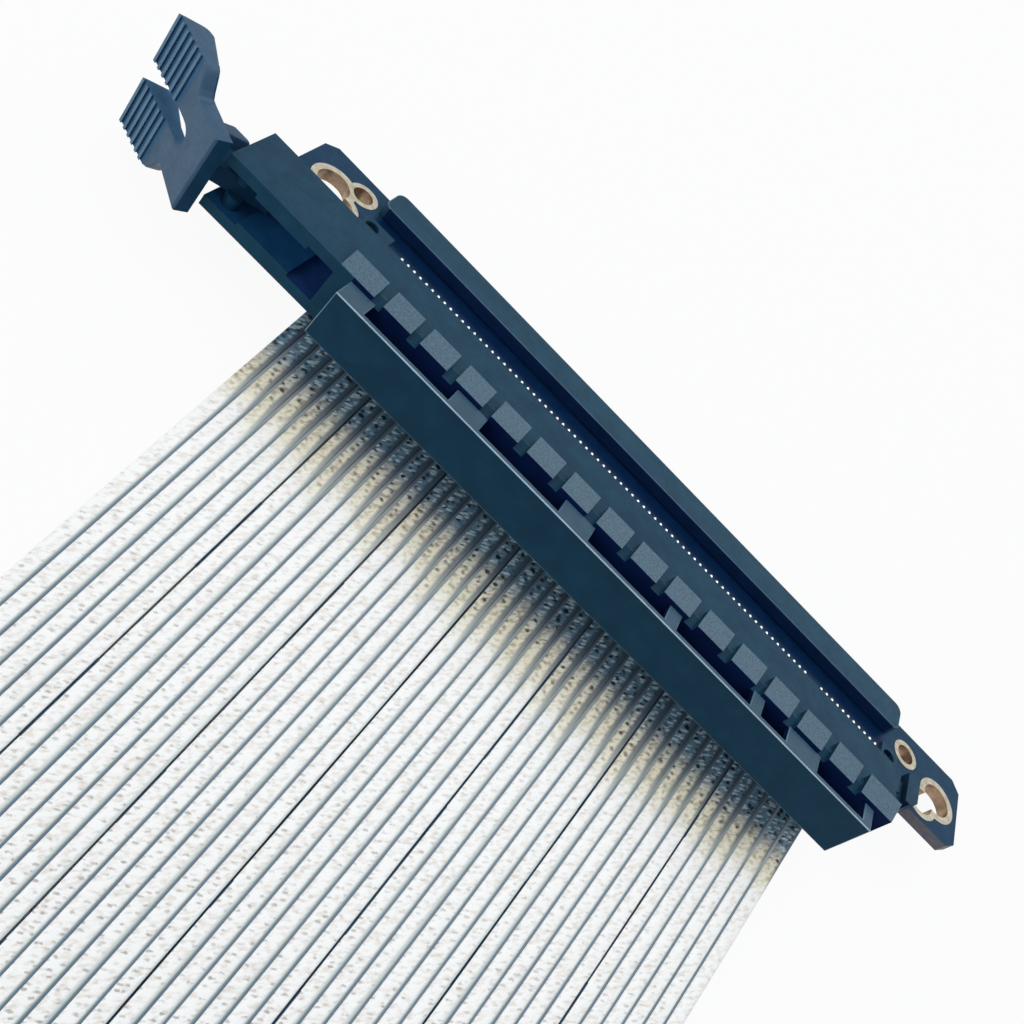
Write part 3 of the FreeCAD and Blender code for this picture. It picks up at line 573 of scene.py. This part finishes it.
def softened(node, name, finishes, body, edge, paint=None, split=None, rounded=None):
    """A moulding with its edges broken; paint, where given, picks the finish of each face."""
    shape = bmesh.new()
    shape.from_mesh(frame["nodes"][node].data)
    bmesh.ops.remove_doubles(shape, verts=shape.verts, dist=MERGE)
    bmesh.ops.dissolve_limit(shape, angle_limit=FLAT, verts=shape.verts, edges=shape.edges)
    if split:
        bmesh.ops.bisect_plane(shape, geom=shape.verts[:] + shape.edges[:] + shape.faces[:],
                               plane_co=(split, 0, 0), plane_no=(1, 0, 0))
    for face in shape.faces:
        face.material_index = PLAIN
    if rounded:
        bmesh.ops.bevel(shape, geom=[e for e in shape.edges if rounded(e)], offset=ROUNDING,
                        offset_type="OFFSET", affect="EDGES", segments=4, profile=0.5,
                        clamp_overlap=False, material=-1)
    sharp = [e for e in shape.edges if e.is_manifold and e.calc_face_angle(0) > SHARP]
    broken = bmesh.ops.bevel(shape, geom=sharp, offset=edge, offset_type="OFFSET", affect="EDGES",
                             segments=2, profile=0.5, clamp_overlap=True, material=-1)
    for face in broken["faces"]:
        face.material_index = BROKEN_EDGE
        face.smooth = True
    if paint:
        for face in shape.faces:
            face.material_index = paint(face)
    return new_piece(name, shape, finishes, body, [node])


def along_socket(face):
    """A face's middle: along the row from the hinge, in from the mouth, and above the slot."""
    middle = face.calc_center_median() - HINGE
    return middle.x, middle.dot(REARWARD) + HINGE_DEPTH, middle.dot(BOARD_NORMAL)


def paint_housing(face):
    """Grain with a painted sheen on the level tops, painted shade on the mouth and on the slopes
    that face it, an own tone for the tower's front, and painted fill light inside the tower and its
    well.
    """
    row, depth, height = along_socket(face)
    forward = -face.normal.dot(REARWARD)
    before_cover = row > COVER_LEFT - HINGE.x
    # Painted shade on the front face beside the cover; the tower's front keeps its own tone
    if forward > 0.9 and depth < FRONT_DEPTH:
        return MOUTH if before_cover else CHEEK
    inside = row < TOWER_REACH and abs(height) < TOWER_INSIDE and 0 < depth < TOWER_FLOOR
    # Painted fill light in the well and the tower
    if inside and row > WELL_LEFT:
        return WELL
    if inside and face.normal.x > -0.5:
        return TOWER
    # Painted shade on faces before the cover that face forward
    if before_cover and forward > 0.5:
        return MOUTH if forward > 0.9 else SLOPE
    # Grain with a painted sheen on level tops
    if face.material_index == PLAIN and face.normal.z > LEVEL:
        return WEDGE_TOP
    return face.material_index


def paint_cover(face):
    """Rim and tabs paler on top as painted light, a painted highlight on the front edge, and
    painted shade behind the plate.
    """
    up, back = face.normal.dot(BOARD_NORMAL), face.normal.dot(REARWARD)
    # Painted light on the tops
    if up > 0.95:
        return RIM
    # Painted highlight on the front edge
    if face.material_index == BROKEN_EDGE and up > 0.3 and back < -0.3:
        return RIM_HIGHLIGHT
    # Painted shade behind the plate
    if face.material_index == PLAIN and back > -0.9:
        return BEHIND_PLATE
    return face.material_index


def below_ribs(place):
    """Depth of a place, given from the hinge, under the plane of the rib tops."""
    return (Vector((PAD_TIP.x, 0, 0)) + REARWARD * PAD_TIP.y - place).dot(PAD_FACING)


def paint_latch(face):
    """Rib tops paler as a painted highlight, grooves painted paler than the plate as painted fill
    light, and painted shade in the tower and on faces towards it.
    """
    row, _, height = along_socket(face)
    sunk = below_ribs(face.calc_center_median() - HINGE)
    facing = face.normal.dot(PAD_FACING)
    on_pads = row < PAD_ROOT.x
    # Rib tops carry a painted highlight; groove floors a painted fill light
    if on_pads and facing > 0.998:
        return GROOVE if sunk > RIB_STEP else RIB_TOP
    # Rib sides get the groove's painted fill light
    if on_pads and sunk < RIB_DEPTH and face.material_index == PLAIN and abs(facing) > 0.2:
        return GROOVE
    # Painted shade in the tower and on faces towards it
    if row > -SHANK_REACH and abs(height) < SHANK_INSIDE or face.normal.x > 0.7:
        return SHANK
    # The slot between the pads gets the groove's painted fill light
    if row < -SHANK_REACH and abs(height) < PAD_SLOT and abs(facing) < 0.5:
        return GROOVE
    return face.material_index


def latch_outline(edge):
    """Whether an edge is one of the plate's and the pads' outer ones, clear of the ribs."""
    ends = [vert.co - HINGE for vert in edge.verts]
    on_ribs = any(end.x < PAD_ROOT.x and below_ribs(end) < RIB_DEPTH for end in ends)
    beside_tower = any(end.x > -SHANK_REACH for end in ends)
    return (not on_ribs and not beside_tower and edge.is_manifold
            and edge.calc_face_angle_signed(0) > SHARP)


def paint_bar(face):
    """Painted shade on the side that faces the ledge."""
    return BAR_FRONT if face.normal.dot(REARWARD) < -0.9 else face.material_index


def pair_tube(shape, middle, low, high, width):
    """One wrapped pair: a flat section with round corners, drawn in gently wandering steps."""
    ring = bmesh.ops.create_circle(shape, segments=PAIR_SIDES, radius=PAIR_CORNER)["verts"]
    turn = Matrix.Rotation(math.radians(90), 3, "X") @ Matrix.Rotation(math.pi / PAIR_SIDES, 3, "Z")
    bmesh.ops.rotate(shape, verts=ring, cent=(0, 0, 0), matrix=turn)
    for vert in ring:
        vert.co.x += math.copysign(width / 2 - PAIR_CORNER, vert.co.x)
        vert.co.z += math.copysign((high.z - low.z) / 2 - PAIR_CORNER, vert.co.z)
    bmesh.ops.translate(shape, verts=ring, vec=(middle, low.y, (low.z + high.z) / 2))
    edges = list({edge for vert in ring for edge in vert.link_edges})
    phase = random.uniform(0, math.tau)
    length = high.y - low.y
    for step in range(RIBBON_STEPS):
        grown = bmesh.ops.extrude_edge_only(shape, edges=edges)["geom"]
        verts = [item for item in grown if isinstance(item, bmesh.types.BMVert)]
        edges = [item for item in grown if isinstance(item, bmesh.types.BMEdge)]
        slope = math.cos(phase + step * 0.9) + 0.6 * math.cos(2 * phase + step * 2.3)
        bmesh.ops.translate(shape, verts=verts, vec=(WANDER * slope, length / RIBBON_STEPS, 0))


def shade_reach(place):
    """How far the cover's shade reaches on a pair, less at the right end of the row."""
    return random.uniform(*SHADE_RANGE) * (1 - (1 - SHADE_RIGHT) * max(0, place - 0.7) / 0.3)


def make_ribbon(layer, index, foil, film, slit):
    """A flat ribbon: pairs side by side with film between them and painted shadow on the slit
    edges.
    """
    node = f"{layer}_ribbon_{index}"
    low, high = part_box(node)
    low.x -= SLIT_SPREAD
    high.x += SLIT_SPREAD
    width = (high.x - low.x - (PAIRS - 1) * PAIR_GAP) / PAIRS
    pitch = width + PAIR_GAP
    shape = bmesh.new()
    across = shape.verts.layers.float.new("across")
    shade = shape.verts.layers.float.new("shade")
    reaches = [shade_reach((index - 1 + i / PAIRS) / RIBBONS) for i in range(PAIRS)]
    for i in range(PAIRS):
        start = len(shape.verts)
        middle = low.x + width / 2 + i * pitch
        pair_tube(shape, middle, low, high, width)
        shape.verts.ensure_lookup_table()
        for vert in shape.verts[start:]:
            vert[across] = (vert.co.x - middle) / width + 0.5
            vert[shade] = reaches[i]
    bmesh.ops.recalc_face_normals(shape, faces=shape.faces)
    for face in shape.faces:
        face.smooth = True
        middle = face.calc_center_median().x
        # Painted shadow on the edge faces in the slit between ribbons
        slit_left = index > 1 and middle - low.x < SLIT_FACE
        slit_right = index < RIBBONS and high.x - middle < SLIT_FACE
        if slit_left or slit_right:
            face.material_index = SLIT
    for i in range(PAIRS - 1):
        web = bmesh.ops.create_cube(shape, size=1)["verts"]
        for vert in web:
            vert[across] = vert.co.x + 0.5
            vert[shade] = reaches[i]
        bmesh.ops.scale(shape, verts=web,
                        vec=(PAIR_GAP + PAIR_CORNER, high.y - low.y, FILM_THICKNESS))
        bmesh.ops.translate(shape, verts=web, vec=(low.x + (i + 1) * pitch - PAIR_GAP / 2,
                                                   (low.y + high.y) / 2,
                                                   high.z - FILM_DEPTH - FILM_THICKNESS / 2))
        for face in {face for vert in web for face in vert.link_faces}:
            face.material_index = FILM
    return new_piece(f"foil_{node}", shape, [foil, film, slit], "cable", [node])


def make_solder(row, tin):
    """A bead of solder at the end of each contact's tail."""
    mesh = frame["nodes"][f"{row}_contacts"].data
    reach = max(vert.co.dot(REARWARD) for vert in mesh.vertices)
    tips = [vert.co for vert in mesh.vertices if reach - vert.co.dot(REARWARD) < TAIL_END]
    sides = sorted({round(tip.x / MM, 2) for tip in tips})
    middles = [(a + b) / 2 * MM for a, b in zip(sides[::2], sides[1::2])]
    level = sum(tip.dot(BOARD_NORMAL) for tip in tips) / len(tips)
    turn = Matrix((Vector((1, 0, 0)), REARWARD, BOARD_NORMAL)).transposed()
    shape = bmesh.new()
    for middle in middles:
        bead = bmesh.ops.create_uvsphere(shape, u_segments=8, v_segments=6, radius=0.5)["verts"]
        bmesh.ops.scale(shape, verts=bead, vec=SOLDER_SIZE)
        bmesh.ops.rotate(shape, verts=bead, cent=(0, 0, 0), matrix=turn)
        at = REARWARD * (reach - SOLDER_SIZE.y / 4) + BOARD_NORMAL * level
        bmesh.ops.translate(shape, verts=bead, vec=(middle, at.y, at.z))
    for face in shape.faces:
        face.smooth = True
    return new_piece(f"{row}_tail_solder", shape, [tin], "cable")


def coat(node, finish):
    """Gives a node that keeps its shape one finish all over."""
    mesh = frame["nodes"][node].data
    mesh.materials.clear()
    mesh.materials.append(finish)


def upright_faces(node, finish):
    """Gives the faces that stand upright on the board a finish of their own."""
    mesh = frame["nodes"][node].data
    mesh.materials.append(finish)
    for side in mesh.polygons:
        if abs(side.normal.dot(BOARD_NORMAL)) < 0.5:
            side.material_index = UPRIGHT


def dress_socket():
    """Housing, cover, latch, plated holes and contacts."""
    navy = moulded_plastic("navy_moulding", (19, 56, 78), (27, 66, 88), 0.48, 0.25, 0.12)
    # Painted highlight on the broken edges of the cover and the latch
    navy_edge = moulded_plastic("navy_edge_painted_highlight", (72, 106, 128), (96, 130, 150), 0.32, 0.12, 0.5)
    # Painted highlight on the housing's broken edges
    body_edge = moulded_plastic("housing_edge_painted_highlight", (46, 78, 98), (58, 92, 112), 0.40, 0.12)
    # Painted shade for the latch's shank and its faces towards the tower
    shank_painted_shade = moulded_plastic("shank_painted_shade", (22, 60, 88), (28, 68, 97), 0.60, 0.10, 0.05)
    cheek_navy = moulded_plastic("cheek_navy", (18, 60, 83), (24, 68, 92), 0.50, 0.12, 0.10)
    # Painted shade for the mouth and behind the cover's plate
    mouth_painted_shade = moulded_plastic("mouth_painted_shade", (8, 26, 66), (10, 32, 76), 0.60, 0.10, 0.05)
    # Grain, lighter as a painted sheen, on the level tops
    wedge_grain = grained_plastic("grained_wedge_painted_sheen", (32, 66, 86), (66, 103, 123), 0.44)
    cover_navy = moulded_plastic("cover_navy", (13, 53, 75), (19, 60, 83), 0.44, 0.10, 0.10)
    # Painted light on the cover's top faces
    cover_rim_painted_light = moulded_plastic("cover_rim_painted_light", (48, 78, 98), (58, 88, 108), 0.44, 0.15)
    # Painted highlight on the cover's front edge
    bright_rim = moulded_plastic("cover_rim_painted_highlight", (150, 172, 188), (176, 196, 210), 0.30, 0.10)
    latch_navy = moulded_plastic("latch_navy", (38, 74, 102), (46, 84, 112), 0.48, 0.20, 0.4)
    # Painted fill light in the latch's grooves and slot
    rib_groove = moulded_plastic("latch_groove_painted_fill", (58, 98, 132), (66, 108, 142), 0.52, 0.10, 0.1)
    # Painted highlight on the rib tops
    rib_top = moulded_plastic("latch_rib_top_painted_highlight", (72, 110, 138), (84, 122, 150), 0.44, 0.15, 0.4)
    # Painted fill light inside the tower and its well, growing further in
    tower = tower_plastic("tower_painted_fill", (19, 60, 96), (35, 96, 146), (60, 136, 196))
    well = tower_plastic("hook_well_painted_fill", (20, 47, 87), (37, 75, 133), (62, 108, 179))
    housing = [navy, body_edge, wedge_grain, tower, cover_navy, mouth_painted_shade, cheek_navy, well]
    cover = [cover_navy, navy_edge, cover_rim_painted_light, mouth_painted_shade, bright_rim]
    latch = [latch_navy, navy_edge, rib_groove, rib_top, shank_painted_shade]
    softened("slot_housing", "housing_moulding", housing, "cable", 0.06 * MM,
             paint_housing, split=COVER_LEFT)
    softened("slot_cover", "cover_moulding", cover, "cable", 0.12 * MM, paint_cover)
    softened("retention_latch", "latch_moulding", latch, "latch", 0.13 * MM,
             paint_latch, rounded=latch_outline)
    gold = plated_metal("pale_gold_ring", (166, 160, 143), (200, 194, 176), 0.42)
    # Darker, browner finish on the upright walls inside the plated holes
    barrel = plated_metal("barrel_wall", (150, 126, 104), (182, 156, 130), 0.40)
    for node in ("left_mount_plating", "right_mount_plating", "right_guide_plating"):
        coat(node, gold)
        upright_faces(node, barrel)
    tin = plated_metal("bright_tin", (236, 238, 240), (252, 252, 252), 0.32)
    for row in LAYERS:
        spring = plated_metal(f"{row}_spring_plating", (150, 150, 145), (205, 202, 190), 0.3)
        coat(f"{row}_contacts", spring)
        make_solder(row, tin)


def dress_boards():
    """The socket's board, and the plug's with its fingers."""
    coat("socket_board", socket_lacquer_and_shadow())
    upright_faces("socket_board", board_core())
    coat("plug_board", solder_mask("plug_lacquer", (30, 64, 90), (36, 72, 99)))
    fingers = plated_metal("edge_finger_gold", (196, 150, 70), (226, 186, 104), 0.26)
    for node in ("plug_upper_fingers", "plug_lower_fingers"):
        coat(node, fingers)


def dress_overmouldings():
    """The bar and wedge at the socket, and both halves of the plug's grip."""
    navy = moulded_plastic("bar_moulding", (24, 63, 83), (32, 71, 93), 0.46, 0.12, 0.12)
    # Painted highlight on the broken edges
    edge = moulded_plastic("bar_edge_painted_highlight", (54, 86, 106), (68, 100, 120), 0.40, 0.08)
    # Painted shade for the bar's side that faces the ledge
    front = moulded_plastic("bar_front", (8, 32, 68), (12, 38, 78), 0.55, 0.08, 0.1)
    for node in ("upper_overmould", "lower_overmould",
                 "plug_upper_overmould", "plug_lower_overmould"):
        softened(node, node.replace("overmould", "moulding"), [navy, edge, front], "cable",
                 0.15 * MM, paint_bar if node == "upper_overmould" else None)


def dress_ribbons():
    """Two layers of flat ribbons."""
    foil, film, slit = foil_wrap(), clear_film(), slit_shadow()
    for layer in LAYERS:
        for index in range(1, RIBBONS + 1):
            make_ribbon(layer, index, foil, film, slit)


set_camera()
set_lights()
make_floor()
dress_socket()
dress_boards()
dress_overmouldings()
dress_ribbons()

bpy.context.scene.view_settings.view_transform = "Standard"
